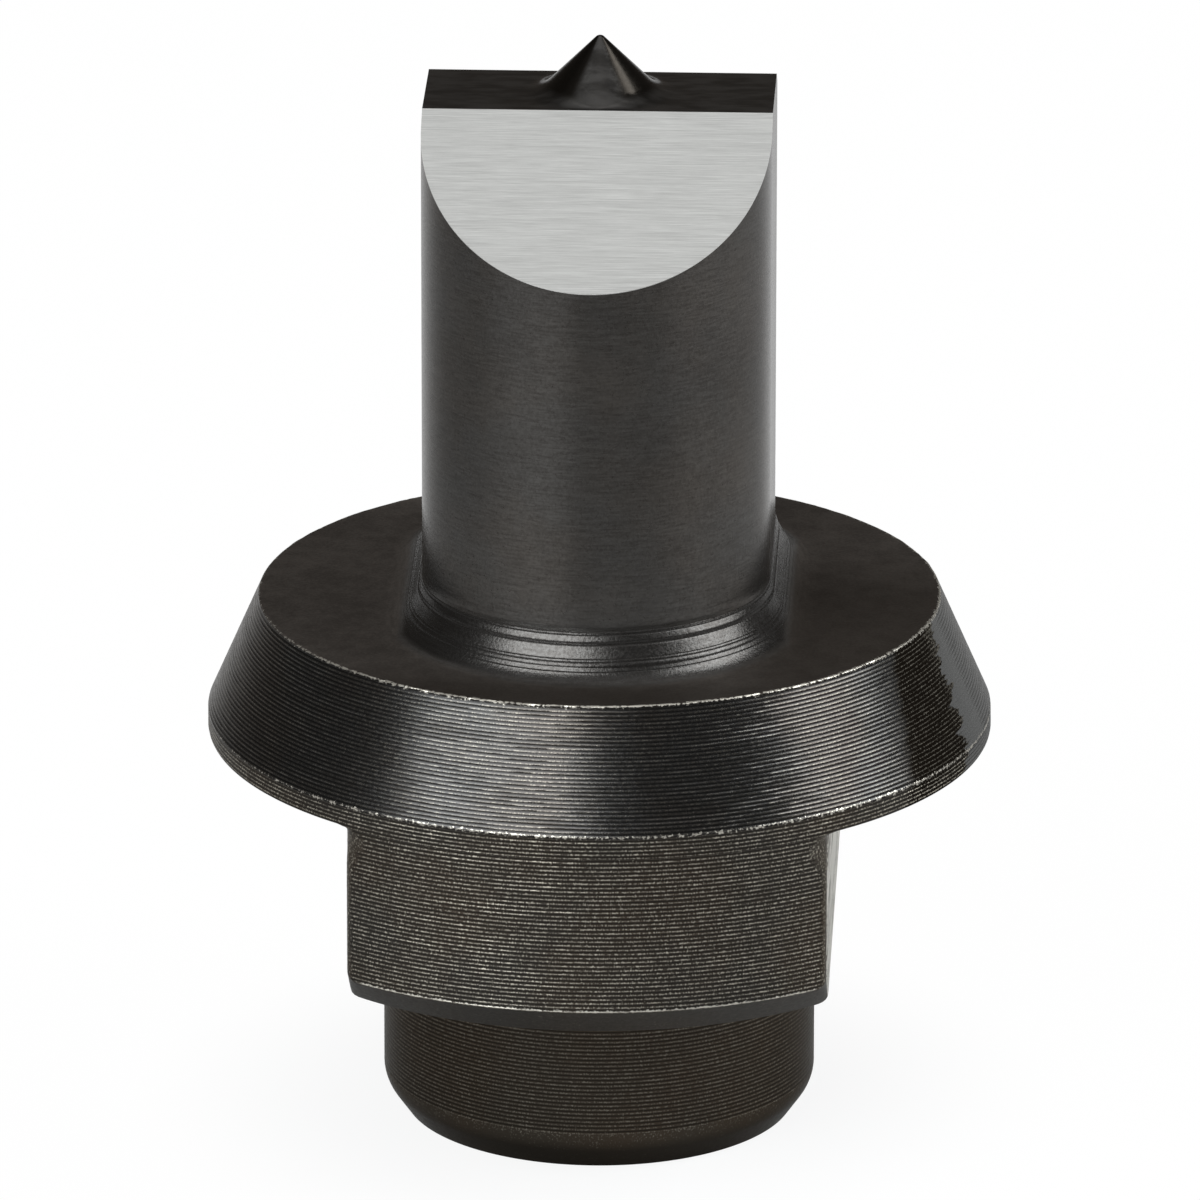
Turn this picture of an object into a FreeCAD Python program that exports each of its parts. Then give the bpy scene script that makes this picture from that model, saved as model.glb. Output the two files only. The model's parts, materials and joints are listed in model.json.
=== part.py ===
import FreeCAD, Part
import math
import os

from FreeCAD import Vector

# An oval punch machined from one bar of tool steel: millimetres and degrees
# The origin is the centre of the spigot's foot
# +Z runs up the punch to its point, Y along the oval's length and X across its width

# Cutting stem
oval_width = 14.0
oval_length = 21.0
stem_height = 21.2
roof_angle = 33.0
root_radius = 2.0

# Centring point on the land between the two roof facets
point_angle = 90.0
point_height = 2.45
point_tip_radius = 0.25
point_blend_radius = 0.4
land_rim = 0.01

# Tapered flange
flange_diameter = 31.8
rim_diameter = 27.6
taper_height = 4.8
band_height = 0.9

# Drive collar below the flange, with two flats across it
collar_height = 7.9
collar_chamfer_height = 1.4
collar_chamfer_width = 1.6
across_flats = 19.2
flat_corner_radius = 0.35
flat_edge_radius = 0.7

# Spigot that seats in the holder
spigot_diameter = 17.6
spigot_length = 8.3
spigot_chamfer_height = 1.2
spigot_chamfer_width = 0.85

# Run-out of a cutter past the surface that it cuts
overrun = 1.0

collar_base_z = spigot_length
shoulder_z = collar_base_z + collar_height
taper_base_z = shoulder_z + band_height
face_z = taper_base_z + taper_height
land_z = face_z + stem_height
flange_radius = flange_diameter / 2
rim_radius = rim_diameter / 2
spigot_radius = spigot_diameter / 2
half_flats = across_flats / 2

point_half_angle = math.radians(point_angle / 2)
point_slope = math.pi / 2 - point_half_angle
point_base_radius = point_height * math.tan(point_half_angle)
point_foot_radius = point_base_radius + point_blend_radius * math.tan(point_slope / 2)
half_land = point_foot_radius + land_rim


def wire_through(points):
    """Closed wire of straight edges."""
    return Part.makePolygon(points + points[:1])


def turned(wire):
    """Solid of revolution about the punch's axis, from a wire in the XZ plane."""
    return Part.Face(wire).revolve(Vector(0, 0, 0), Vector(0, 0, 1), 360)


def turned_blank():
    """Spigot, collar and tapered flange, as they leave the lathe."""
    profile = [
        (0, 0),
        (spigot_radius - spigot_chamfer_width, 0),
        (spigot_radius, spigot_chamfer_height),
        (spigot_radius, collar_base_z),
        (flange_radius - collar_chamfer_width, collar_base_z),
        (flange_radius, collar_base_z + collar_chamfer_height),
        (flange_radius, taper_base_z),
        (rim_radius, face_z),
        (0, face_z),
    ]
    return turned(wire_through([Vector(r, 0, z) for r, z in profile]))


def flat_cutter(side):
    """Milling cutter's sweep beside one drive flat, rounded where the flat meets the shoulder."""
    inner = side * half_flats
    corner = side * (half_flats + flat_corner_radius)
    outer = side * (flange_radius + overrun)
    bend = flat_corner_radius * math.cos(math.radians(45))
    low = collar_base_z - overrun
    bend_z = shoulder_z - flat_corner_radius
    back = -flange_radius - overrun
    wall_top = Vector(inner, back, bend_z)
    arc_middle = Vector(corner - side * bend, back, bend_z + bend)
    shelf_start = Vector(corner, back, shoulder_z)
    shelf_end = Vector(outer, back, shoulder_z)
    foot_outer = Vector(outer, back, low)
    foot_inner = Vector(inner, back, low)
    edges = [
        Part.makeLine(foot_inner, wall_top),
        Part.Arc(wall_top, arc_middle, shelf_start).toShape(),
        Part.makeLine(shelf_start, shelf_end),
        Part.makeLine(shelf_end, foot_outer),
        Part.makeLine(foot_outer, foot_inner),
    ]
    return Part.Face(Part.Wire(edges)).extrude(Vector(0, -2 * back, 0))


def on_flat(edge):
    """Whether an edge lies in one of the two flats, below the shoulder's rounded corner."""
    box = edge.BoundBox
    in_plane = box.XLength < 1e-6 and abs(abs(box.XMin) - half_flats) < 1e-6
    return in_plane and box.ZMin < shoulder_z - flat_corner_radius - 1e-3


def milled_base():
    """The turned blank with its two drive flats cut and their edges broken."""
    blank = turned_blank()
    for side in (-1, 1):
        blank = blank.cut(flat_cutter(side))
    return blank.makeFillet(flat_edge_radius, [edge for edge in blank.Edges if on_flat(edge)])


def oval_wire(z):
    """Oval outline of two half rounds joined by straight flanks."""
    radius = oval_width / 2
    flank = (oval_length - oval_width) / 2
    right_front = Vector(radius, -flank, z)
    right_back = Vector(radius, flank, z)
    left_back = Vector(-radius, flank, z)
    left_front = Vector(-radius, -flank, z)
    edges = [
        Part.makeLine(right_front, right_back),
        Part.Arc(right_back, Vector(0, oval_length / 2, z), left_back).toShape(),
        Part.makeLine(left_back, left_front),
        Part.Arc(left_front, Vector(0, -oval_length / 2, z), right_front).toShape(),
    ]
    return Part.Wire(edges)


def roof():
    """Everything below the land and the two roof facets that fall away to the oval's ends."""
    reach = oval_length / 2 + overrun
    eaves_z = land_z - (reach - half_land) * math.tan(math.radians(roof_angle))
    start = -oval_width / 2 - overrun
    profile = [
        (-reach, 0),
        (reach, 0),
        (reach, eaves_z),
        (half_land, land_z),
        (-half_land, land_z),
        (-reach, eaves_z),
    ]
    face = Part.Face(wire_through([Vector(start, y, z) for y, z in profile]))
    return face.extrude(Vector(-2 * start, 0, 0))


def stem():
    """Oval stem, cut to its roof shape, standing on the flange's face."""
    column = Part.Face(oval_wire(face_z)).extrude(Vector(0, 0, stem_height))
    return column.common(roof())


def centring_point():
    """Cone with a rounded tip that sweeps out into the land round its foot."""
    apex_z = land_z + point_height
    tip_centre_z = apex_z - point_tip_radius / math.sin(point_half_angle)
    tip_end_r = point_tip_radius * math.cos(point_half_angle)
    tip_end_z = tip_centre_z + point_tip_radius * math.sin(point_half_angle)
    tip_turn = (math.pi / 2 + point_half_angle) / 2
    tip_middle = Vector(
        point_tip_radius * math.cos(tip_turn), 0, tip_centre_z + point_tip_radius * math.sin(tip_turn)
    )
    blend_centre_z = land_z + point_blend_radius
    blend_start = Vector(
        point_foot_radius - point_blend_radius * math.sin(point_slope),
        0,
        blend_centre_z - point_blend_radius * math.cos(point_slope),
    )
    blend_middle = Vector(
        point_foot_radius - point_blend_radius * math.sin(point_slope / 2),
        0,
        blend_centre_z - point_blend_radius * math.cos(point_slope / 2),
    )
    top = Vector(0, 0, tip_centre_z + point_tip_radius)
    tip_end = Vector(tip_end_r, 0, tip_end_z)
    foot = Vector(point_foot_radius, 0, land_z)
    centre = Vector(0, 0, land_z)
    edges = [
        Part.Arc(top, tip_middle, tip_end).toShape(),
        Part.makeLine(tip_end, blend_start),
        Part.Arc(blend_start, blend_middle, foot).toShape(),
        Part.makeLine(foot, centre),
        Part.makeLine(centre, top),
    ]
    return turned(Part.Wire(edges))


def on_root(edge):
    """Whether an edge lies where the stem meets the flange's face."""
    box = edge.BoundBox
    level = box.ZLength < 1e-6 and abs(box.ZMin - face_z) < 1e-6
    return level and box.XMax < rim_radius - 1e-3 and box.XMin > -rim_radius + 1e-3


def punch():
    """The whole punch, with the stem's root swept into the flange."""
    body = milled_base().fuse(stem()).removeSplitter()
    ledge = rim_radius - oval_length / 2
    sweep = min(root_radius, 0.9 * ledge)
    body = body.makeFillet(sweep, [edge for edge in body.Edges if on_root(edge)])
    return body.fuse(centring_point()).removeSplitter()


os.makedirs("parts", exist_ok=True)
punch().exportStep("parts/oval_punch.step")
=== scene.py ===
import json
import math

import bmesh
import bpy
import numpy as np
from mathutils import Matrix, Vector


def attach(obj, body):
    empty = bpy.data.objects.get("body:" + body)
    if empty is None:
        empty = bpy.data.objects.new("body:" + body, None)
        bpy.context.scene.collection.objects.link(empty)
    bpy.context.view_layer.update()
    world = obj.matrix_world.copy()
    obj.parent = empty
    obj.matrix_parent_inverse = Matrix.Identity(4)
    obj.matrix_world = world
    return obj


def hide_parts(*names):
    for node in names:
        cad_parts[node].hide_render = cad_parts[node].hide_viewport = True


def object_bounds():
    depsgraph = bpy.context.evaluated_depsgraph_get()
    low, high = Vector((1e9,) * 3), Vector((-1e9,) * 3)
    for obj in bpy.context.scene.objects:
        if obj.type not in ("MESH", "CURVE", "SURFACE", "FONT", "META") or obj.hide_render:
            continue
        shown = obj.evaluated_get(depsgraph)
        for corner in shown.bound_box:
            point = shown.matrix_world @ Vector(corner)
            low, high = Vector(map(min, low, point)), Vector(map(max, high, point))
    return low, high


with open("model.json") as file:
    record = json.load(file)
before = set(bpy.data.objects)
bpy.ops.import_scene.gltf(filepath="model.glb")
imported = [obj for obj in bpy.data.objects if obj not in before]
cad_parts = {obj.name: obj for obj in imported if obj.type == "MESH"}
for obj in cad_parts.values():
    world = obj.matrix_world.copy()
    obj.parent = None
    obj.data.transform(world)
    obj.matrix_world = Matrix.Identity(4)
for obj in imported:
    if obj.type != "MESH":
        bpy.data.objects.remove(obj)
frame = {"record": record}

# Oval punch: sizes are in millimetres and degrees until a mesh is written, in metres
MM = 0.001
cad_low, cad_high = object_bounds()
MOUNTS = {m["name"]: m for m in frame["record"]["mounts"]}

# Sizes read from the frame
FLANGE_R = (cad_high.x - cad_low.x) / 2 / MM
TIP_Z = cad_high.z / MM
SPIGOT_R = MOUNTS["spigot"]["dims"]["r_mm"]
COLLAR_BASE_Z = MOUNTS["collar_seat"]["pos_m"][2] / MM
CHAMFER_TOP_Z = COLLAR_BASE_Z - MOUNTS["spigot"]["dims"]["length_mm"]
HALF_FLATS = MOUNTS["drive_flat_right"]["pos_m"][0] / MM

# Oval stem and its roof
OVAL_R = 7.0
OVAL_HALF_FLANK = 3.5
ROOT_R = 2.0
ROOT_PASSES = (
    (0.0, 2.15),
    (0.07, 1.87),
    (0.225, 1.593),
    (0.23, 1.528),
    (0.673, 0.733),
    (0.69, 0.664),
    (0.84, 0.438),
)
ROOT_SCORES = (1.94, 1.83, 1.46, 0.97, 0.86, 0.52)
SCORE_DEPTH = 0.014
SCORE_HALF = 0.022
SCORE_INWARD = (0.87, 0.5)
RUNOUT_POWER = 3.2
RIDGE_PLACE = 1.3
RIDGE_HALF = 0.05
RIDGE_HEIGHT = 0.012
ROOF_ANGLE = 33.0
HALF_LAND = 2.626
FACET_SKIN = 0.02
POINT_SLOPE = 45.0
POINT_TIP_R = 0.25
POINT_BLEND_R = 1.6

# Levels up the punch
COLLAR_EDGE_Z = 9.7
SHOULDER_Z = 16.2
TAPER_BASE_Z = 17.1
FACE_Z = 21.9
LAND_Z = 43.1

# Turned sizes
RIM_R = 13.8
COLLAR_FOOT_R = 14.3
SPIGOT_FOOT_R = 7.95
FLAT_CORNER_R = 0.35
FLAT_EDGE_R = 0.7
BAND_EDGE_R = 0.15
FLAT_RUNOUT_R = 1.1
FLAT_RUNOUT_Z = 15.6
FLAT_RUNOUT_REACH = 0.8
SPIGOT_EDGE_R = 1.5
EDGE_WEAR = 0.05
WEAR_REACH = 0.2
LIP_DROP = 0.012

# Turning marks: tool feed and depth
TAPER_FEED = 0.164
COLLAR_FEED = 0.1745
SPIGOT_FEED = 0.172
TAPER_DEPTH = 0.016
COLLAR_DEPTH = 0.019
SPIGOT_DEPTH = 0.009
SCALLOP_STEPS = (0.0, 0.2, 0.5, 0.8)
STEM_FEED = 0.25
STEM_RIPPLE = 0.004
OIL_AZIMUTH = 76.0
OIL_SPREAD = 3.6
OIL_FILL = 0.75

# Camera, fitted to the photograph
CAMERA_PLACE = (22.43, -558.54, 219.41)
CAMERA_TILT = 70.502
CAMERA_TURN = 2.298
CAMERA_ROLL = 0.057
CAMERA_LENS = 439.03

# Mesh: welding distance, smoothing angle, and halvings when a radius is searched for
WELD = 1e-5
SHARP_ANGLE = 30.0
HALVINGS = 40

rng = np.random.default_rng(21)


def column_angles():
    """Angles of the mesh columns, with exact ones where the drive flats' edges are broken."""
    flat_end, round_start = flat_edge_angles()
    quarter = [(0.0, flat_end, 46), (flat_end, round_start, 7), (round_start, math.pi / 2, 34)]
    first = [a + (b - a) * i / n for a, b, n in quarter for i in range(n)]
    second = [math.pi - a for a in [math.pi / 2] + first[:0:-1]]
    half = np.array(first + second)
    return np.concatenate([half, half + math.pi])


def flat_edge_angles():
    """Where the rounded edge of a drive flat leaves the flat and meets the collar."""
    centre_x = HALF_FLATS - FLAT_EDGE_R
    centre_y = math.sqrt((FLANGE_R - FLAT_EDGE_R) ** 2 - centre_x**2)
    return math.atan2(centre_y, HALF_FLATS), math.atan2(centre_y, centre_x)


ANGLES = column_angles()
COLUMNS = len(ANGLES)
RAY_X = np.cos(ANGLES)
RAY_Y = np.sin(ANGLES)
FOLDED = np.arccos(np.clip(np.abs(RAY_X), 0, 1))


def ring(radius, z):
    """Points of one level: radius and z may each differ from column to column."""
    radius = np.broadcast_to(np.asarray(radius, float), (COLUMNS,))
    z = np.broadcast_to(np.asarray(z, float), (COLUMNS,))
    return np.stack([radius * RAY_X, radius * RAY_Y, z], axis=1)


def wander(size, reach):
    """Random offsets that drift smoothly round the part."""
    loose = rng.normal(size=COLUMNS + 2 * reach)
    loose[-2 * reach:] = loose[: 2 * reach]
    kernel = np.hanning(2 * reach + 3)[1:-1]
    smooth = np.convolve(loose, kernel / np.sqrt((kernel**2).sum()), mode="valid")
    return size * smooth[:COLUMNS]


def oval_columns():
    """Centre line point and outward direction of the oval under each column."""
    reach = OVAL_R + ROOT_R
    flank = np.abs(RAY_Y) * reach <= OVAL_HALF_FLANK * np.abs(RAY_X)
    centre_y = OVAL_HALF_FLANK * np.sign(RAY_Y)
    along = centre_y * RAY_Y
    far = along + np.sqrt(np.maximum(along**2 + reach**2 - OVAL_HALF_FLANK**2, 0))
    out = np.stack([far * RAY_X, far * RAY_Y - centre_y], axis=1) / reach
    steep = np.divide(RAY_Y, np.abs(RAY_X), out=np.zeros(COLUMNS), where=flank)
    core = np.where(flank, reach * steep, centre_y)
    out[flank, 0] = np.sign(RAY_X[flank])
    out[flank, 1] = 0
    return core, out


OVAL_CORE, OVAL_OUT = oval_columns()


def oval_ring(offset, z):
    """Points of a level at a distance outside the stem's wall."""
    reach = OVAL_R + np.broadcast_to(np.asarray(offset, float), (COLUMNS,))
    z = np.broadcast_to(np.asarray(z, float), (COLUMNS,))
    return np.stack([reach * OVAL_OUT[:, 0], OVAL_CORE + reach * OVAL_OUT[:, 1], z], axis=1)


class Skin:
    """Rings of points from the bottom up, with how worn each point is and how near to a crest; a low crest
    mark also paints shade into the oxide there.
    """

    def __init__(self):
        self.rings = []

    def add(self, points, wear=0.0, crest=0.0):
        """Adds the next ring up."""
        marks = [np.broadcast_to(np.asarray(mark, float), (COLUMNS,)) for mark in (wear, crest)]
        self.rings.append((points, marks))

    def mesh(self):
        """A closed bmesh of the rings, with a flat cap at each end."""
        bm = bmesh.new()
        layers = [bm.verts.layers.float.new(name) for name in ("wear", "crest")]
        grid = []
        for points, marks in self.rings:
            row = [bm.verts.new(p) for p in points]
            for layer, mark in zip(layers, marks):
                for vert, value in zip(row, mark):
                    vert[layer] = value
            grid.append(row)
        for low, high in zip(grid[:-1], grid[1:]):
            for i in range(COLUMNS):
                j = (i + 1) % COLUMNS
                bm.faces.new((low[i], low[j], high[j], high[i]))
        bm.faces.new(grid[0][::-1])
        bm.faces.new(grid[-1])
        return bm


def finish_mesh(bm, name, material):
    """Writes a bmesh as a piece of the punch, in metres, riding on its body."""
    bmesh.ops.remove_doubles(bm, verts=bm.verts, dist=WELD)
    bmesh.ops.scale(bm, vec=(MM, MM, MM), verts=bm.verts)
    bmesh.ops.recalc_face_normals(bm, faces=bm.faces)
    mesh = bpy.data.meshes.new(name)
    bm.to_mesh(mesh)
    bm.free()
    mesh.shade_smooth()
    mesh.set_sharp_from_angle(angle=math.radians(SHARP_ANGLE))
    mesh.materials.append(material)
    piece = bpy.data.objects.new(name, mesh)
    bpy.context.scene.collection.objects.link(piece)
    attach(piece, "root")
    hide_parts("oval_punch")
    return piece


def scallop(share):
    """Depth of a turning mark across its feed, from 0 at a crest to 1 midway."""
    return 4 * share * (1 - share)


def marks(length, feed):
    """Places along a turned wall: distance, and share of the feed there."""
    count = round(length / feed)
    step = length / count
    return [((number + share) * step, share) for number in range(count) for share in SCALLOP_STEPS]


def edge_wear(distance, length, low, high):
    """Wear near the two ends of a wall."""
    near_low = low * max(0.0, 1 - distance / WEAR_REACH)
    near_high = high * max(0.0, 1 - (length - distance) / WEAR_REACH)
    return max(near_low, near_high)


def wear_with_left_shade():
    """Edge wear, lowered to the left of the front: painted shade on the left-hand edges."""
    azimuth = np.degrees(np.arctan2(RAY_X, -RAY_Y))
    return 1 - 0.3 * np.exp(-(((azimuth + 85) / 32) ** 2))


def oil_left():
    """Share of a turning mark's depth that dried oil leaves open: it fills them on the right."""
    azimuth = np.degrees(np.arctan2(RAY_X, -RAY_Y))
    return 1 - OIL_FILL * np.exp(-(((azimuth - OIL_AZIMUTH) / OIL_SPREAD) ** 2))


def add_turned_wall(skin, start, end, feed, depth, wear_ends=(0.0, 0.0), limit=None, left_open=1.0):
    """Turned wall from one (r, z) to another, with a crest at each turn of the tool."""
    length = math.dist(start, end)
    along = ((end[0] - start[0]) / length, (end[1] - start[1]) / length)
    inward = (-along[1], along[0])
    strength = 1.0
    crest_drop = 0.0
    for distance, share in marks(length, feed):
        if share == 0:
            strength = 1 + 0.05 * rng.normal() + wander(0.1, 6)
            crest_drop = depth * (0.05 + np.abs(wander(0.13, 1)))
        sink = depth * strength * scallop(share) * left_open + crest_drop * (1 - scallop(share))
        sink = np.maximum(sink, 0)
        radius = start[0] + along[0] * distance + inward[0] * sink
        z = start[1] + along[1] * distance + inward[1] * sink
        wear = edge_wear(distance, length, *wear_ends) * wear_with_left_shade()
        crest = np.full(COLUMNS, 1.0 - scallop(share) * left_open)
        if limit is not None:
            bound = limit(z)
            cut = bound < radius
            beside = (np.roll(cut, 1) | np.roll(cut, -1)) & (share == 0)
            radius = np.where(cut, bound, radius)
            crest = np.where(cut, 0.5, crest)
            wear = np.where(cut, 0.0, np.maximum(wear, beside * 0.75))
        skin.add(ring(radius, z), wear, crest)


def chamfer_radius(z):
    """Radius of the collar's lower chamfer at a level, carried on above its edge."""
    run = FLANGE_R - COLLAR_FOOT_R
    rise = COLLAR_EDGE_Z - COLLAR_BASE_Z
    return COLLAR_FOOT_R + (z - COLLAR_BASE_Z) * run / rise


def rolled_bound(half, edge, wall, lean):
    """Radius of each column within a flat and a wall, with a ball's sweep along their edge."""
    meet = lean * np.abs(RAY_X)
    spread = np.maximum(1 - meet**2, 1e-6)
    low = np.zeros(COLUMNS)
    high = wall + 0.0
    for _ in range(HALVINGS):
        middle = (low + high) / 2
        to_flat = middle * np.abs(RAY_X) - half + edge
        to_wall = (middle - wall) * lean + edge
        between = (to_flat > to_wall * meet) & (to_wall > to_flat * meet)
        rolled = np.sqrt(np.maximum(to_flat**2 + to_wall**2 - 2 * to_flat * to_wall * meet, 0) / spread)
        outside = np.where(between, rolled, np.maximum(to_flat, to_wall)) > edge
        high = np.where(outside, middle, high)
        low = np.where(outside, low, middle)
    return high


def flat_bound(z):
    """Radius at which a drive flat, with its rounded edges and inner corner, stops each column."""
    z = np.broadcast_to(np.asarray(z, float), (COLUMNS,))
    lift = np.clip(z - (SHOULDER_Z - FLAT_CORNER_R), 0, FLAT_CORNER_R)
    half = HALF_FLATS + FLAT_CORNER_R - np.sqrt(FLAT_CORNER_R**2 - lift**2)
    edge = FLAT_EDGE_R + FLAT_RUNOUT_R * np.exp(-(((z - FLAT_RUNOUT_Z) / FLAT_RUNOUT_REACH) ** 2))
    run = FLANGE_R - COLLAR_FOOT_R
    rise = COLLAR_EDGE_Z - COLLAR_BASE_Z
    chamfer = rolled_bound(half, edge, chamfer_radius(z), rise / math.hypot(run, rise))
    return np.minimum(rolled_bound(half, edge, np.full(COLUMNS, FLANGE_R), 1.0), chamfer)


def band_bound(z):
    """Radius of the rounded lower edge of the band, where the shoulder leaves it free."""
    width = np.clip(FLANGE_R - flat_bound(SHOULDER_Z), 0, None)
    edge = np.minimum(BAND_EDGE_R, 0.9 * width)
    drop = np.clip(edge - (np.asarray(z, float) - SHOULDER_Z), 0, None)
    bound = FLANGE_R - edge + np.sqrt(np.maximum(edge**2 - drop**2, 0))
    return np.where(drop > 0, bound, np.inf)


def taper_point(down):
    """Radius and z on the taper, at a distance in z below the face."""
    slope = (FLANGE_R - RIM_R) / (FACE_Z - TAPER_BASE_Z)
    return RIM_R + slope * down, FACE_Z - down


def flange_taper(material):
    """Tapered flange wall with its turning marks and worn lower edge."""
    skin = Skin()
    skin.add(ring(FLANGE_R - LIP_DROP, TAPER_BASE_Z - EDGE_WEAR), wear=0.68 * wear_with_left_shade())
    lip = FLANGE_R - 0.004 - np.abs(wander(0.008, 1))
    skin.add(ring(lip, TAPER_BASE_Z - 0.01), wear=0.88 * wear_with_left_shade())
    low = taper_point(FACE_Z - TAPER_BASE_Z - 0.03)
    high = taper_point(EDGE_WEAR + 0.02)
    add_turned_wall(skin, low, high, TAPER_FEED, TAPER_DEPTH, (0.82, 0.8), left_open=oil_left())
    skin.add(ring(*taper_point(EDGE_WEAR)), wear=0.8 * wear_with_left_shade())
    return finish_mesh(skin.mesh(), "flange_taper", material)


def drive_collar(material):
    """Band and collar below the taper, with the two drive flats across them."""
    skin = Skin()
    skin.add(ring(SPIGOT_R, COLLAR_BASE_Z))
    skin.add(ring(SPIGOT_R + 0.1, COLLAR_BASE_Z))
    foot = flat_bound(COLLAR_BASE_Z)
    skin.add(ring((foot + SPIGOT_R) / 2, COLLAR_BASE_Z))
    skin.add(ring(foot - 0.05, COLLAR_BASE_Z))
    chamfer_steps = 16
    for step in range(chamfer_steps):
        share = step / chamfer_steps
        z = COLLAR_BASE_Z + (COLLAR_EDGE_Z - COLLAR_BASE_Z) * share
        reach = flat_bound(z)
        worn = (chamfer_radius(z) - reach < 1e-3) * max(0.0, 1 - (1 - share) * 10)
        # A crest mark of 0.17 on the chamfer only darkens it: painted shade.
        skin.add(ring(reach, z), wear=worn, crest=0.17)
    add_turned_wall(
        skin,
        (FLANGE_R, COLLAR_EDGE_Z + 0.01),
        (FLANGE_R, SHOULDER_Z - 0.001),
        COLLAR_FEED,
        COLLAR_DEPTH,
        (1.0, 0.0),
        flat_bound,
    )
    inner = flat_bound(SHOULDER_Z)
    skin.add(ring(inner, SHOULDER_Z))
    skin.add(ring(np.minimum(band_bound(SHOULDER_Z), FLANGE_R), SHOULDER_Z))
    add_turned_wall(
        skin,
        (FLANGE_R, SHOULDER_Z + 0.012),
        (FLANGE_R, TAPER_BASE_Z - EDGE_WEAR - 0.01),
        COLLAR_FEED,
        COLLAR_DEPTH,
        (0.0, 0.75),
        band_bound,
    )
    skin.add(ring(FLANGE_R - LIP_DROP, TAPER_BASE_Z - EDGE_WEAR), wear=0.75 * wear_with_left_shade())
    bm = skin.mesh()
    bmesh.ops.remove_doubles(bm, verts=bm.verts, dist=WELD)
    flats = [f for f in bm.faces if all(abs(abs(v.co.x) - HALF_FLATS) < 1e-4 for v in f.verts)]
    edges = list({e for f in flats for e in f.edges})
    verts = list({v for f in flats for v in f.verts})
    bmesh.ops.dissolve_limit(bm, angle_limit=1e-3, verts=verts, edges=edges)
    return finish_mesh(bm, "drive_collar", material)


def spigot(material):
    """Spigot below the collar, with its turning marks and rounded foot chamfer."""
    skin = Skin()
    lean = math.atan2(SPIGOT_R - SPIGOT_FOOT_R, CHAMFER_TOP_Z)
    tangent = SPIGOT_EDGE_R * math.tan(lean / 2)
    # Low crest marks on the foot chamfer darken it, most at the bottom: painted shade.
    skin.add(ring(SPIGOT_FOOT_R - 0.06, 0.0), crest=0.1)
    skin.add(ring(SPIGOT_FOOT_R, 0.0), crest=0.1)
    for step in range(7):
        a = lean * (1 - step / 6)
        z = CHAMFER_TOP_Z + tangent - SPIGOT_EDGE_R * math.sin(a)
        skin.add(ring(SPIGOT_R - SPIGOT_EDGE_R * (1 - math.cos(a)), z), crest=0.1 + 0.4 * step / 6)
    wall_low = CHAMFER_TOP_Z + tangent + 0.02
    add_turned_wall(skin, (SPIGOT_R, wall_low), (SPIGOT_R, COLLAR_BASE_Z - 0.05), SPIGOT_FEED, SPIGOT_DEPTH)
    skin.add(ring(SPIGOT_R, COLLAR_BASE_Z), crest=0.5)
    return finish_mesh(skin.mesh(), "spigot", material)


def point_rows(around):
    """Rings of the centring point above the land, from its blended foot to its rounded tip."""
    slope = math.radians(POINT_SLOPE)
    tip_centre = TIP_Z - POINT_TIP_R
    base_r = (tip_centre + POINT_TIP_R / math.cos(slope) - LAND_Z) / math.tan(slope)
    turn = np.arange(around) * 2 * math.pi / around
    ground_off = FACET_SKIN / math.sin(math.radians(ROOF_ANGLE))
    room = (HALF_LAND - ground_off - 0.004) / np.abs(np.sin(turn)).clip(1e-6)
    blend = np.minimum(POINT_BLEND_R, (room - base_r) / math.tan(slope / 2))
    foot_r = base_r + blend * math.tan(slope / 2)
    rows = []
    for step in range(13):
        a = slope * step / 12
        rows.append((foot_r - blend * math.sin(a), LAND_Z + blend * (1 - math.cos(a))))
    start_r, start_z = rows[-1]
    end_r = POINT_TIP_R * math.sin(slope)
    end_z = tip_centre + POINT_TIP_R * math.cos(slope)
    for share in (0.2, 0.4, 0.6, 0.8):
        rows.append((start_r + (end_r - start_r) * share, start_z + (end_z - start_z) * share))
    for step in range(6, 0, -1):
        a = slope * step / 6
        rows.append((POINT_TIP_R * math.sin(a), tip_centre + POINT_TIP_R * math.cos(a)))
    points = []
    for r, z in rows:
        level = np.broadcast_to(z, turn.shape)
        points.append(np.stack([r * np.cos(turn), r * np.sin(turn), level], axis=1))
    return points


def raise_point(bm):
    """Opens the land and raises the centring point from it."""
    around = 96
    land = max(bm.faces, key=lambda f: f.calc_center_median().z)
    outline = land.edges[:]
    bmesh.ops.delete(bm, geom=[land], context="FACES_ONLY")
    rows = [[bm.verts.new(p) for p in row] for row in point_rows(around)]
    for low, high in zip(rows[:-1], rows[1:]):
        for i in range(around):
            j = (i + 1) % around
            bm.faces.new((low[i], low[j], high[j], high[i]))
    peak = bm.verts.new((0, 0, TIP_Z))
    for i in range(around):
        bm.faces.new((rows[-1][i], rows[-1][(i + 1) % around], peak))
    hole = [bm.edges.get((rows[0][i], rows[0][(i + 1) % around])) for i in range(around)]
    bmesh.ops.triangle_fill(bm, use_beauty=True, use_dissolve=False, edges=outline + hole)


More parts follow.
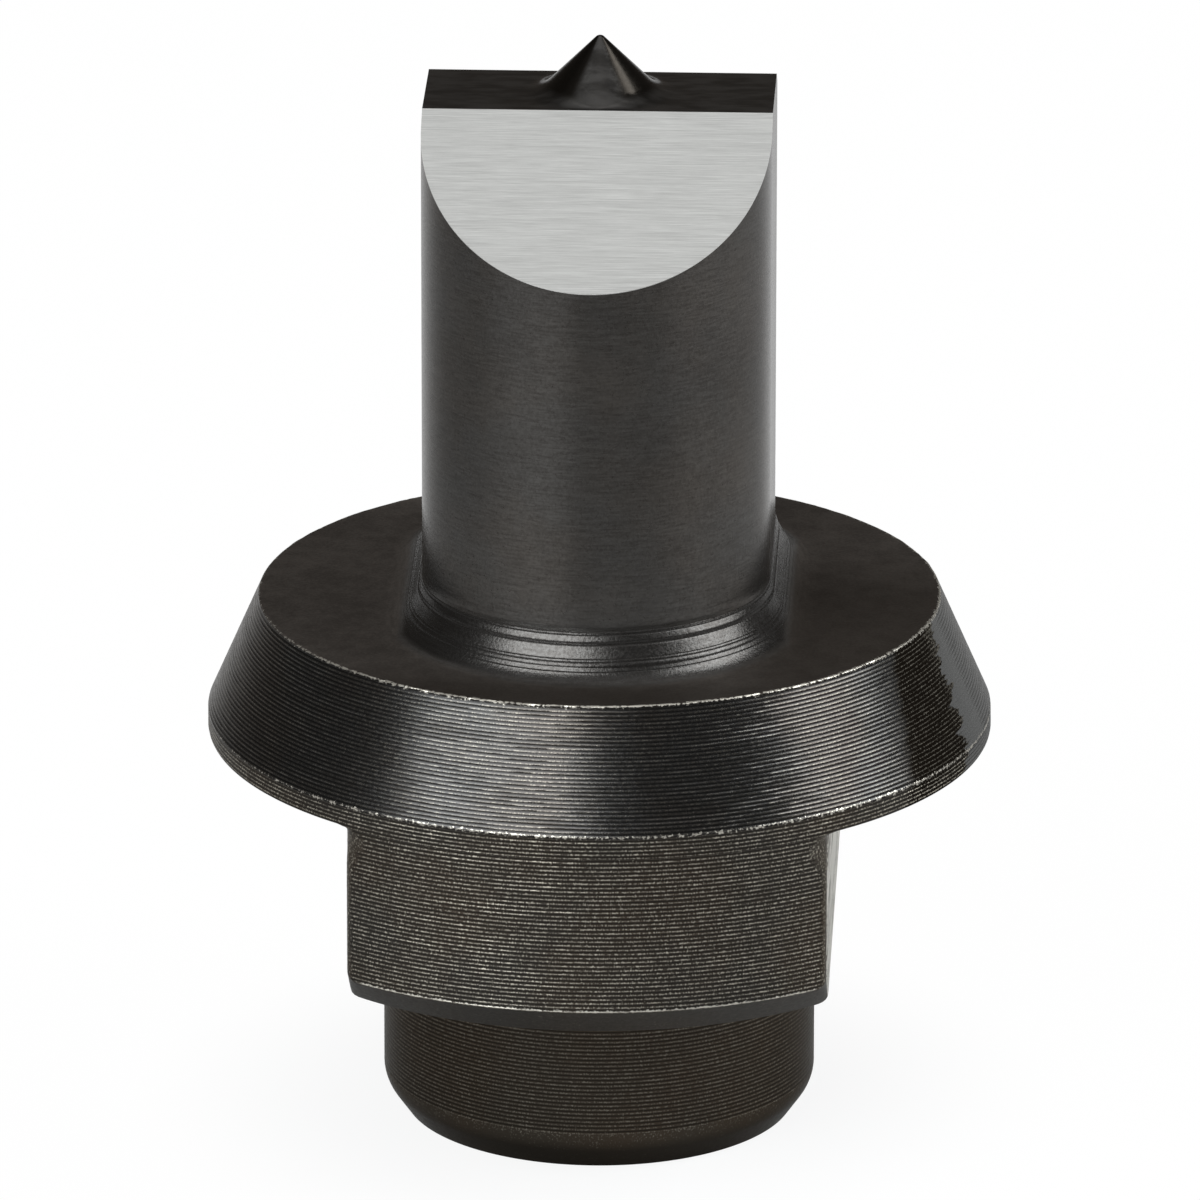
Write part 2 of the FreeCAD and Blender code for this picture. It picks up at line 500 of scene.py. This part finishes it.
def root_rows():
    """(distance from the wall, height over the face) down the root, with its tool passes and scores."""
    offsets, heights = (list(column) for column in zip(*ROOT_PASSES))
    rows = []
    for number in range(len(ROOT_PASSES) - 1):
        rows += list(np.linspace(heights[number], heights[number + 1], 6, endpoint=False))
    for score in ROOT_SCORES:
        rows += [score + SCORE_HALF, score, score - SCORE_HALF]
    points = []
    for height in sorted(set(rows), reverse=True):
        offset = np.interp(-height, -np.array(heights), offsets)
        sink = sum(SCORE_DEPTH * max(0.0, 1 - abs(height - score) / SCORE_HALF) for score in ROOT_SCORES)
        points.append((offset - sink * SCORE_INWARD[0], height - sink * SCORE_INWARD[1]))
    last_offset, last_height = ROOT_PASSES[-1]
    for step in range(25):
        share = step / 24
        offset = last_offset + (ROOT_R - last_offset) * share
        ridge = RIDGE_HEIGHT * math.exp(-(((offset - RIDGE_PLACE) / RIDGE_HALF) ** 2))
        points.append((offset, last_height * (1 - share) ** RUNOUT_POWER + ridge))
    return points


def stem_solid():
    """Flange face, root and oval stem up to the land, before the roof is ground."""
    skin = Skin()
    skin.add(ring(*taper_point(EDGE_WEAR)), wear=0.8 * wear_with_left_shade())
    rim = ring(RIM_R - 0.01 + wander(0.008, 1), FACE_Z - 0.016 + wander(0.006, 1))
    skin.add(rim, wear=wear_with_left_shade())
    skin.add(ring(RIM_R - 0.05 + wander(0.014, 1), FACE_Z), wear=0.85 * wear_with_left_shade())
    skin.add(ring(RIM_R - 0.24, FACE_Z))
    outer = ring(RIM_R - 0.24, FACE_Z)
    inner = oval_ring(ROOT_R, FACE_Z)
    for share in (0.05, 0.2, 0.4, 0.6, 0.8, 0.95):
        skin.add(outer + (inner - outer) * share)
    passes = np.clip(np.abs(OVAL_OUT[:, 1]) / 0.6, 0.6, 1)
    for offset, height in root_rows()[::-1]:
        turn = math.atan2(ROOT_R - height, ROOT_R - offset)
        plain_offset = ROOT_R * (1 - math.cos(turn))
        plain_height = ROOT_R * (1 - math.sin(turn))
        offset = plain_offset + (offset - plain_offset) * passes
        skin.add(oval_ring(offset, FACE_Z + plain_height + (height - plain_height) * passes))
    wall_low = FACE_Z + ROOT_PASSES[0][1]
    count = round((LAND_Z - wall_low) / STEM_FEED)
    for number in range(1, count):
        z = wall_low + (LAND_Z - wall_low) * number / count
        ripple = STEM_RIPPLE * (0.2 + 2.5 * math.exp(-(z - wall_low) / 1.2))
        skin.add(oval_ring(-abs(rng.normal()) * ripple, z))
    skin.add(oval_ring(0.0, LAND_Z))
    return skin.mesh()


def cut_away(bm, side, depth, keep_below):
    """Cuts the solid along one roof facet, sunk by a depth, and closes the cut flat."""
    angle = math.radians(ROOF_ANGLE)
    normal = Vector((0, side * math.sin(angle), math.cos(angle)))
    place = Vector((0, side * HALF_LAND, LAND_Z)) - normal * depth
    cut = bmesh.ops.bisect_plane(
        bm,
        geom=bm.verts[:] + bm.edges[:] + bm.faces[:],
        dist=1e-6,
        plane_co=place,
        plane_no=normal if keep_below else -normal,
        clear_outer=True,
    )
    rim = [e for e in cut["geom_cut"] if isinstance(e, bmesh.types.BMEdge)]
    bmesh.ops.contextual_create(bm, geom=rim)


def stem_and_face(material):
    """Stem with its root, the flange's face, the land and the centring point."""
    bm = stem_solid()
    for side in (-1, 1):
        cut_away(bm, side, FACET_SKIN, True)
    raise_point(bm)
    return finish_mesh(bm, "stem_and_face", material)


def ground_facet(name, side, material):
    """Bright skin of one roof facet."""
    bm = stem_solid()
    cut_away(bm, side, 0.0, True)
    cut_away(bm, side, FACET_SKIN, False)
    return finish_mesh(bm, name, material)


class Shader:
    """Short calls for building one material's nodes."""

    def __init__(self, name):
        self.material = bpy.data.materials.new(name)
        self.material.use_nodes = True
        self.tree = self.material.node_tree
        self.surface = self.tree.nodes["Principled BSDF"]
        place = self.tree.nodes.new("ShaderNodeTexCoord").outputs["Object"]
        scaled = self.tree.nodes.new("ShaderNodeVectorMath")
        scaled.operation = "SCALE"
        scaled.inputs["Scale"].default_value = 1 / MM
        self.tree.links.new(place, scaled.inputs[0])
        self.place = scaled.outputs[0]

    def link(self, source, target):
        """Joins an output socket to an input socket."""
        self.tree.links.new(source, target)

    def noise(self, scale, detail=3.0, stretch=(1, 1, 1), roughness=0.5):
        """Noise with a scale in features per millimetre, stretched along the axes."""
        mapping = self.tree.nodes.new("ShaderNodeMapping")
        mapping.inputs["Scale"].default_value = stretch
        self.link(self.place, mapping.inputs["Vector"])
        node = self.tree.nodes.new("ShaderNodeTexNoise")
        node.inputs["Scale"].default_value = scale
        node.inputs["Detail"].default_value = detail
        node.inputs["Roughness"].default_value = roughness
        self.link(mapping.outputs[0], node.inputs["Vector"])
        return node.outputs["Fac"]

    def attribute(self, name):
        """A value kept on the mesh's points."""
        node = self.tree.nodes.new("ShaderNodeAttribute")
        node.attribute_name = name
        return node.outputs["Fac"]

    def split(self):
        """The place's X, Y and Z in millimetres."""
        node = self.tree.nodes.new("ShaderNodeSeparateXYZ")
        self.link(self.place, node.inputs[0])
        return node.outputs

    def azimuth(self):
        """Degrees round the punch: 0 at the front and + to the right."""
        place = self.split()
        turn = self.math("ARCTAN2", place["X"], self.math("MULTIPLY", place["Y"], -1.0))
        return self.math("MULTIPLY", turn, 180 / math.pi)

    def remap(self, source, low, high, to_low=0.0, to_high=1.0):
        """Smooth step of a value from one range to another, held at its ends."""
        node = self.tree.nodes.new("ShaderNodeMapRange")
        node.interpolation_type = "SMOOTHSTEP"
        node.inputs["From Min"].default_value = low
        node.inputs["From Max"].default_value = high
        node.inputs["To Min"].default_value = to_low
        node.inputs["To Max"].default_value = to_high
        self.link(source, node.inputs["Value"])
        return node.outputs["Result"]

    def math(self, operation, a, b):
        """One sum of two values, each a number or a socket."""
        node = self.tree.nodes.new("ShaderNodeMath")
        node.operation = operation
        for socket, value in zip(node.inputs, (a, b)):
            if isinstance(value, (int, float)):
                socket.default_value = value
            else:
                self.link(value, socket)
        return node.outputs[0]

    def mix(self, share, a, b):
        """Mix of two colours, each a tuple or a socket."""
        node = self.tree.nodes.new("ShaderNodeMix")
        node.data_type = "RGBA"
        self.link(share, node.inputs["Factor"])
        colours = {socket.name: socket for socket in node.inputs if socket.type == "RGBA"}
        for name, value in (("A", a), ("B", b)):
            if isinstance(value, tuple):
                colours[name].default_value = (*value, 1)
            else:
                self.link(value, colours[name])
        return next(socket for socket in node.outputs if socket.type == "RGBA")

    def bump(self, height, distance):
        """Normal of a fine relief, with its depth in millimetres."""
        node = self.tree.nodes.new("ShaderNodeBump")
        node.inputs["Distance"].default_value = distance * MM
        node.inputs["Strength"].default_value = 1.0
        self.link(height, node.inputs["Height"])
        return node.outputs[0]


# Colours of the finishes, and of painted shade on the face and the point
STEM_BLACK = (0.079, 0.0765, 0.073)
STEM_BROWN = (0.082, 0.0755, 0.069)
STEM_SHADE = (0.02, 0.017, 0.015)
ROOT_BLACK = (0.0515, 0.0495, 0.0475)
FACE_BROWN = (0.059, 0.051, 0.045)
FACE_PAINTED_SHADE = (0.012, 0.0095, 0.0075)
LAND_DARK = (0.034, 0.032, 0.03)
LAND_LIGHT = (0.07, 0.067, 0.064)
POINT_PAINTED_SHADE = (0.015, 0.013, 0.011)
TAPER_BLACK = (0.044, 0.043, 0.042)
TAPER_BROWN = (0.044, 0.039, 0.035)
COLLAR_BLACK = (0.042, 0.0385, 0.034)
COLLAR_BROWN = (0.05, 0.04, 0.031)
SPIGOT_BLACK = (0.036, 0.03, 0.0235)
SPIGOT_BROWN = (0.039, 0.03, 0.022)
GROUND_DARK = (0.465, 0.467, 0.455)
GROUND_LIGHT = (0.66, 0.662, 0.645)
WORN = (0.46, 0.435, 0.385)
CREST = (0.4, 0.37, 0.31)
MILLED = (0.72, 0.7, 0.64)
EDGE_TINT = (0.62, 0.61, 0.6, 1)
SATIN_TINT = (0.9, 0.9, 0.9, 1)
OXIDE_METALLIC = 0.9
STAIN_START = 32.0
STAIN_EDGE = 53.5
STAIN_BLACK = (0.005, 0.0038, 0.0028)
FILM_GREY = (0.082, 0.0815, 0.08)
FLOOR_LEVEL = 0.47

# Soft lamps on both sides
LAMP_ELEVATION = 36
LAMP_DISTANCE = 0.9
LAMP_HEIGHT = 0.6
LAMP_COLOUR = (0.94, 0.98, 1.0)


def oxide_base(s, dark, brown, edge_tint=EDGE_TINT):
    """Mottled oxide colour, and the plain sockets that every blackened finish shares."""
    s.surface.inputs["Specular IOR Level"].default_value = 0.0
    s.surface.inputs["Specular Tint"].default_value = edge_tint
    return s.mix(s.remap(s.noise(0.22, 4.0), 0.35, 0.68), dark, brown)


def worn_edges(s):
    """1 where an edge is worn to bright steel, with a frayed border, else 0."""
    fray = s.math("MULTIPLY", s.math("SUBTRACT", s.noise(7.0, 3.0, roughness=0.7), 0.5), 1.8)
    return s.remap(s.math("ADD", s.attribute("wear"), fray), 0.76, 0.98)


def turned_oxide(name, dark, brown, roughness, crest_share, grain, worn_roughness=0.36, stained=False):
    """Black oxide over turned steel, brightened where crests and edges are worn, and darkened by painted
    shade in the grooves and on the chamfers.
    """
    s = Shader(name)
    crest_and_shade_mark = s.attribute("crest")
    speck = s.noise(6.0, 4.0, roughness=0.7)
    bead = s.math("MULTIPLY", s.math("SUBTRACT", s.noise(1.0, 3.0, (14.0, 14.0, 10.0), 0.7), 0.5), 3.6)
    crest = s.remap(s.math("ADD", crest_and_shade_mark, bead), 0.6, 1.05)
    crest = s.math("MULTIPLY", crest, s.remap(s.noise(1.6, 3.0), 0.3, 0.7, 0.5 * crest_share, crest_share))
    edge = worn_edges(s)
    oxide = oxide_base(s, dark, brown)
    # Painted shade: the oxide darkens where the crest mark is low, in the grooves and on the chamfers.
    painted_groove_shade = s.remap(crest_and_shade_mark, 0.0, 0.4)
    groove_shaded_oxide = s.mix(painted_groove_shade, tuple(0.4 * part for part in dark), oxide)
    flat = flat_mask(s)
    hidden = s.math("MULTIPLY", flat, scored(s))
    if stained:
        stain, film = oil_stain(s)
        # Painted shade in the grooves under the film as well.
        grey = s.mix(painted_groove_shade, tuple(0.3 * part for part in FILM_GREY), FILM_GREY)
        groove_shaded_oxide = s.mix(film, s.mix(stain, groove_shaded_oxide, STAIN_BLACK), grey)
        crest = s.math("MULTIPLY", crest, s.math("SUBTRACT", 1.0, film))
        cover = s.math("ADD", s.math("MULTIPLY", stain, 0.7), s.math("MULTIPLY", film, 0.5))
        hidden = s.math("MAXIMUM", hidden, cover)
    milled = s.math("MULTIPLY", flat, s.math("SUBTRACT", 1.0, hidden))
    colour = s.mix(milled, s.mix(edge, s.mix(crest, groove_shaded_oxide, CREST), WORN), MILLED)
    s.link(colour, s.surface.inputs["Base Color"])
    worn = s.math("MAXIMUM", s.math("MAXIMUM", crest, edge), milled)
    oxide_metallic = s.math("MULTIPLY", s.math("SUBTRACT", 1.0, hidden), OXIDE_METALLIC)
    s.link(s.math("MAXIMUM", worn, oxide_metallic), s.surface.inputs["Metallic"])
    base_rough = s.remap(speck, 0.25, 0.75, roughness - 0.05, roughness + 0.06)
    rough = s.math("MAXIMUM", base_rough, s.math("MULTIPLY", worn, worn_roughness))
    rough = s.math("SUBTRACT", rough, s.math("MULTIPLY", milled, 0.18))
    s.link(rough, s.surface.inputs["Roughness"])
    s.link(s.bump(speck, grain), s.surface.inputs["Normal"])
    return s.material


def flat_mask(s):
    """1 on the two milled flats, else 0."""
    place = s.split()
    across = s.math("ABSOLUTE", place["X"], 0.0)
    from_inside = s.remap(across, HALF_FLATS - 0.03, HALF_FLATS - 0.01)
    from_outside = s.remap(across, HALF_FLATS + 0.01, HALF_FLATS + 0.03, 1.0, 0.0)
    corner_z = SHOULDER_Z - FLAT_CORNER_R
    below = s.remap(place["Z"], corner_z, corner_z + 0.04, 1.0, 0.0)
    return s.math("MULTIPLY", s.math("MULTIPLY", from_inside, from_outside), below)


def scored(s):
    """1 in black scores that run along the punch's Y and crowd towards its front, else 0."""
    crowd = s.remap(s.split()["Y"], -11.0, -3.0, 0.09, 0.0)
    scores = s.math("SUBTRACT", s.noise(1.0, 2.0, (2.0, 0.16, 6.0), 0.6), crowd)
    return s.remap(scores, 0.35, 0.37, 1.0, 0.0)


def oil_stain(s):
    """Dark oil on the right of the flange, and the smooth grey film beyond its torn edge."""
    height = s.split()["Z"]
    azimuth = s.azimuth()
    torn = s.math("MULTIPLY", s.math("SUBTRACT", s.noise(1.0, 3.0, (0.4, 0.4, 2.5), 0.65), 0.5), 14.0)
    start = s.math("SUBTRACT", azimuth, s.math("MULTIPLY", height, 1.2))
    start = s.math("ADD", start, s.math("MULTIPLY", torn, 0.3))
    beyond = s.math("SUBTRACT", s.math("ADD", azimuth, torn), height)
    past = s.remap(beyond, STAIN_EDGE, STAIN_EDGE + 0.6)
    film = s.math("MULTIPLY", past, s.remap(azimuth, 95.0, 120.0, 1.0, 0.0))
    stain = s.math("MULTIPLY", s.remap(start, STAIN_START, STAIN_START + 3.0), s.math("SUBTRACT", 1.0, past))
    above = s.remap(height, SHOULDER_Z - 0.1, SHOULDER_Z)
    return s.math("MULTIPLY", stain, above), s.math("MULTIPLY", film, above)


def satin_oxide():
    """Black oxide over ground steel: glossy on the land, satin on the stem and matt on the face, with painted
    shade on the face's front and right and on the point's sides.
    """
    s = Shader("blackened_satin")
    place = s.split()
    height = place["Z"]
    beside = s.remap(s.math("ABSOLUTE", place["X"], 0.0), OVAL_R + 0.5, OVAL_R + 1.0)
    matt = s.math("MAXIMUM", s.remap(height, FACE_Z, FACE_Z + 0.26, 1.0, 0.0), beside)
    wall_start = FACE_Z + ROOT_PASSES[1][1]
    root = s.math("SUBTRACT", s.remap(height, wall_start, wall_start + 0.1, 1.0, 0.0), matt)
    polished = s.remap(height, LAND_Z - 0.02, LAND_Z - 0.005)
    grain = s.noise(8.0, 3.0, roughness=0.7)
    brush = s.noise(1.0, 4.0, stretch=(1.2, 1.2, 14.0), roughness=0.7)
    soft = s.noise(0.16, 2.0)
    tone = s.math("ADD", s.math("MULTIPLY", grain, 0.35), s.math("MULTIPLY", brush, 0.45))
    tone = s.math("ADD", tone, s.math("MULTIPLY", soft, 0.2))
    oxide = oxide_base(s, STEM_BLACK, STEM_BROWN, SATIN_TINT)
    dull = s.math("SUBTRACT", 1.0, polished)
    shade = s.math("MULTIPLY", s.remap(tone, 0.36, 0.64, 0.0, 0.6), dull)
    oxide = s.mix(s.math("MAXIMUM", root, matt), oxide, s.mix(matt, ROOT_BLACK, FACE_BROWN))
    mottle = s.remap(s.noise(1.0, 3.0, (0.5, 1.6, 1.0), 0.6), 0.36, 0.64)
    land = s.mix(mottle, LAND_DARK, LAND_LIGHT)
    # Painted shade: the centring point's sides, turned away from the front, are darkened.
    turned_away = s.math("ABSOLUTE", s.azimuth(), 0.0)
    sides = s.math("MULTIPLY", s.remap(turned_away, 20.0, 34.0), s.remap(turned_away, 120.0, 150.0, 1.0, 0.0))
    sides = s.math("MULTIPLY", sides, s.remap(height, LAND_Z + 0.1, LAND_Z + 0.4))
    land = s.mix(sides, land, POINT_PAINTED_SHADE)
    oxide = s.mix(polished, s.mix(shade, oxide, STEM_SHADE), land)
    # Painted shade: the face is darkened towards its front and towards its right.
    front = s.remap(place["Y"], -13.0, -8.0, 0.75, 0.0)
    to_right = s.remap(place["X"], 2.0, 9.0, 0.0, 0.66)
    right = s.math("MULTIPLY", to_right, s.remap(place["Y"], -1.0, 7.0, 1.0, 0.0))
    painted_face_shade = s.math("MULTIPLY", matt, s.math("MAXIMUM", front, right))
    colour = s.mix(painted_face_shade, oxide, FACE_PAINTED_SHADE)
    edge = worn_edges(s)
    s.link(s.mix(edge, colour, WORN), s.surface.inputs["Base Color"])
    oxide_metallic = s.math("SUBTRACT", OXIDE_METALLIC, s.math("MULTIPLY", matt, 0.4))
    s.link(s.math("MAXIMUM", edge, oxide_metallic), s.surface.inputs["Metallic"])
    rough = s.remap(grain, 0.25, 0.75, 0.2, 0.28)
    rough = s.math("ADD", rough, s.math("MULTIPLY", matt, 0.16))
    rough = s.math("ADD", rough, s.math("MULTIPLY", root, s.remap(grain, 0.35, 0.65, 0.0, 0.05)))
    gloss = s.remap(height, LAND_Z + 0.1, LAND_Z + 0.6, 0.12, 0.03)
    rough = s.math("SUBTRACT", rough, s.math("MULTIPLY", polished, gloss))
    s.link(s.math("MAXIMUM", rough, s.math("MULTIPLY", edge, 0.36)), s.surface.inputs["Roughness"])
    brush = s.math("MULTIPLY", brush, s.math("SUBTRACT", 1.0, root))
    grain = s.math("MULTIPLY", grain, s.math("ADD", 1.0, s.math("MULTIPLY", root, 2.0)))
    relief = s.math("MULTIPLY", s.math("ADD", brush, grain), dull)
    s.link(s.bump(relief, 0.004), s.surface.inputs["Normal"])
    return s.material


def ground_steel():
    """Bright steel with fine grinding lines that run across the punch."""
    s = Shader("ground_steel")
    lines = s.noise(1.0, 5.0, stretch=(0.5, 34.0, 34.0), roughness=0.75)
    coarse = s.noise(1.0, 2.0, stretch=(0.12, 5.0, 5.0))
    tone = s.math("ADD", s.math("MULTIPLY", lines, 0.86), s.math("MULTIPLY", coarse, 0.14))
    colour = s.mix(s.remap(tone, 0.34, 0.66), GROUND_DARK, GROUND_LIGHT)
    s.link(colour, s.surface.inputs["Base Color"])
    s.surface.inputs["Metallic"].default_value = 1.0
    s.link(s.remap(lines, 0.3, 0.7, 0.32, 0.4), s.surface.inputs["Roughness"])
    s.link(s.bump(lines, 0.003), s.surface.inputs["Normal"])
    return s.material


def set_camera():
    """Camera where the photograph was taken from."""
    data = bpy.data.cameras.new("camera")
    data.sensor_width = 36
    data.lens = CAMERA_LENS
    data.clip_start = 0.01
    data.clip_end = 20
    camera = bpy.data.objects.new("camera", data)
    camera.location = Vector(CAMERA_PLACE) * MM
    tilt = math.radians(CAMERA_TILT)
    camera.rotation_euler = (tilt, 0, math.radians(CAMERA_TURN))
    roll = Vector((0, 0, 1))
    basis = camera.rotation_euler.to_matrix()
    camera.rotation_euler = (basis @ Matrix.Rotation(math.radians(CAMERA_ROLL), 3, roll)).to_euler()
    bpy.context.scene.collection.objects.link(camera)
    bpy.context.scene.camera = camera


def soft_box(name, azimuth, width, radiance):
    """Area lamp that faces the punch; azimuth 0 is the camera's side and + is to the right."""
    data = bpy.data.lights.new(name, "AREA")
    data.shape = "RECTANGLE"
    data.size = width
    data.size_y = LAMP_HEIGHT
    data.energy = radiance * math.pi * width * LAMP_HEIGHT
    data.color = LAMP_COLOUR
    lamp = bpy.data.objects.new(name, data)
    a = math.radians(azimuth)
    e = math.radians(LAMP_ELEVATION)
    away = Vector((math.sin(a) * math.cos(e), -math.cos(a) * math.cos(e), math.sin(e)))
    lamp.location = away * LAMP_DISTANCE + Vector((0, 0, 0.02))
    lamp.rotation_euler = away.to_track_quat("Z", "Y").to_euler()
    bpy.context.scene.collection.objects.link(lamp)


def set_world():
    """Soft studio light: dim near the horizon and bright overhead."""
    world = bpy.data.worlds.new("studio")
    bpy.context.scene.world = world
    world.use_nodes = True
    tree = world.node_tree
    place = tree.nodes.new("ShaderNodeTexCoord").outputs["Generated"]
    split = tree.nodes.new("ShaderNodeSeparateXYZ")
    tree.links.new(place, split.inputs[0])
    ramp = tree.nodes.new("ShaderNodeValToRGB")
    tree.links.new(split.outputs["Z"], ramp.inputs["Fac"])
    stops = ramp.color_ramp.elements
    stops[0].position = 0.66
    stops[0].color = (0.071, 0.06, 0.051, 1)
    stops[1].position = 0.99
    stops[1].color = (1.0, 1.0, 1.0, 1)
    haze = stops.new(0.93)
    haze.color = (0.52, 0.52, 0.52, 1)
    tree.links.new(ramp.outputs["Color"], tree.nodes["Background"].inputs["Color"])


def studio_floor():
    """Pale floor whose far rim curves up, so that it fills the view behind the punch."""
    bm = bmesh.new()
    radius = 3.0
    rise = 0.9
    turns = 96
    profile = [(0.0, 0.0), (radius, 0.0)]
    for i in range(1, 9):
        a = math.radians(30 * i / 8)
        profile.append((radius + rise * math.sin(a), rise * (1 - math.cos(a))))
    centre = bm.verts.new((0, 0, 0))
    rows = []
    for r, z in profile[1:]:
        turn = [2 * math.pi * i / turns for i in range(turns)]
        rows.append([bm.verts.new((r * math.cos(a), r * math.sin(a), z)) for a in turn])
    for i in range(turns):
        bm.faces.new((centre, rows[0][i], rows[0][(i + 1) % turns]))
    for low, high in zip(rows[:-1], rows[1:]):
        for i in range(turns):
            j = (i + 1) % turns
            bm.faces.new((low[i], high[i], high[j], low[j]))
    mesh = bpy.data.meshes.new("floor")
    bm.to_mesh(mesh)
    bm.free()
    mesh.shade_smooth()
    floor = bpy.data.objects.new("floor", mesh)
    mesh.materials.append(floor_material())
    bpy.context.scene.collection.objects.link(floor)


def lamp_pools(s, away):
    """Brightness of the floor round the punch: full under each soft lamp and lower between them."""
    azimuth = s.azimuth()
    left = s.math("MULTIPLY", s.remap(azimuth, -84.0, -36.0), s.remap(azimuth, -22.0, -9.0, 1.0, 0.0))
    right_rise = s.remap(azimuth, 34.0, 70.0, 0.0, 0.84)
    right = s.math("MULTIPLY", right_rise, s.remap(azimuth, 100.0, 140.0, 1.0, 0.5))
    rear = s.remap(s.math("ABSOLUTE", azimuth, 0.0), 110.0, 155.0, 0.0, 0.75)
    pool = s.math("MAXIMUM", rear, s.math("ADD", left, right))
    level = s.math("ADD", FLOOR_LEVEL, s.math("MULTIPLY", pool, 1 - FLOOR_LEVEL))
    return s.math("MAXIMUM", level, s.remap(away, 60.0, 75.0, 1.0, 0.0))


def floor_material():
    """Pale floor, near white away from the punch, which keeps the shadow round the punch's foot."""
    s = Shader("floor")
    s.surface.inputs["Base Color"].default_value = (0.5, 0.5, 0.5, 1)
    s.surface.inputs["Roughness"].default_value = 0.9
    s.surface.inputs["Specular IOR Level"].default_value = 0.0
    length = s.tree.nodes.new("ShaderNodeVectorMath")
    length.operation = "LENGTH"
    s.link(s.place, length.inputs[0])
    away = length.outputs["Value"]
    glow = s.tree.nodes.new("ShaderNodeEmission")
    path = s.tree.nodes.new("ShaderNodeLightPath")
    pool = s.math("MAXIMUM", lamp_pools(s, away), path.outputs["Is Camera Ray"])
    s.link(s.math("MULTIPLY", s.remap(away, 260.0, 900.0, 1.0, 0.45), pool), glow.inputs["Strength"])
    mirrored = s.math("MAXIMUM", path.outputs["Is Glossy Ray"], path.outputs["Is Transmission Ray"])
    seen = s.math("MULTIPLY", path.outputs["Is Camera Ray"], s.remap(away, 8.0, 20.0, 0.87, 0.987))
    mirrored = s.math("MULTIPLY", mirrored, s.remap(away, 22.0, 75.0, 0.1, 0.95))
    mix = s.tree.nodes.new("ShaderNodeMixShader")
    s.link(s.math("MAXIMUM", seen, mirrored), mix.inputs["Fac"])
    s.link(s.surface.outputs[0], mix.inputs[1])
    s.link(glow.outputs[0], mix.inputs[2])
    s.link(mix.outputs[0], s.tree.nodes["Material Output"].inputs["Surface"])
    return s.material


satin = satin_oxide()
taper_finish = turned_oxide(
    "blackened_taper",
    TAPER_BLACK,
    TAPER_BROWN,
    roughness=0.235,
    crest_share=0.22,
    grain=0.003,
    stained=True,
)
collar_finish = turned_oxide(
    "blackened_turned",
    COLLAR_BLACK,
    COLLAR_BROWN,
    roughness=0.34,
    crest_share=1.0,
    grain=0.006,
    worn_roughness=0.5,
    stained=True,
)
spigot_finish = turned_oxide(
    "blackened_spigot",
    SPIGOT_BLACK,
    SPIGOT_BROWN,
    roughness=0.34,
    crest_share=0.25,
    grain=0.004,
    worn_roughness=0.4,
)
bright = ground_steel()

stem_and_face(satin)
ground_facet("ground_facet_front", -1, bright)
ground_facet("ground_facet_rear", 1, bright)
flange_taper(taper_finish)
drive_collar(collar_finish)
spigot(spigot_finish)

studio_floor()
set_world()
soft_box("box_left", azimuth=-33, width=0.78, radiance=10.0)
soft_box("box_right", azimuth=88, width=0.58, radiance=11.0)
set_camera()
bpy.context.scene.view_settings.view_transform = "Standard"
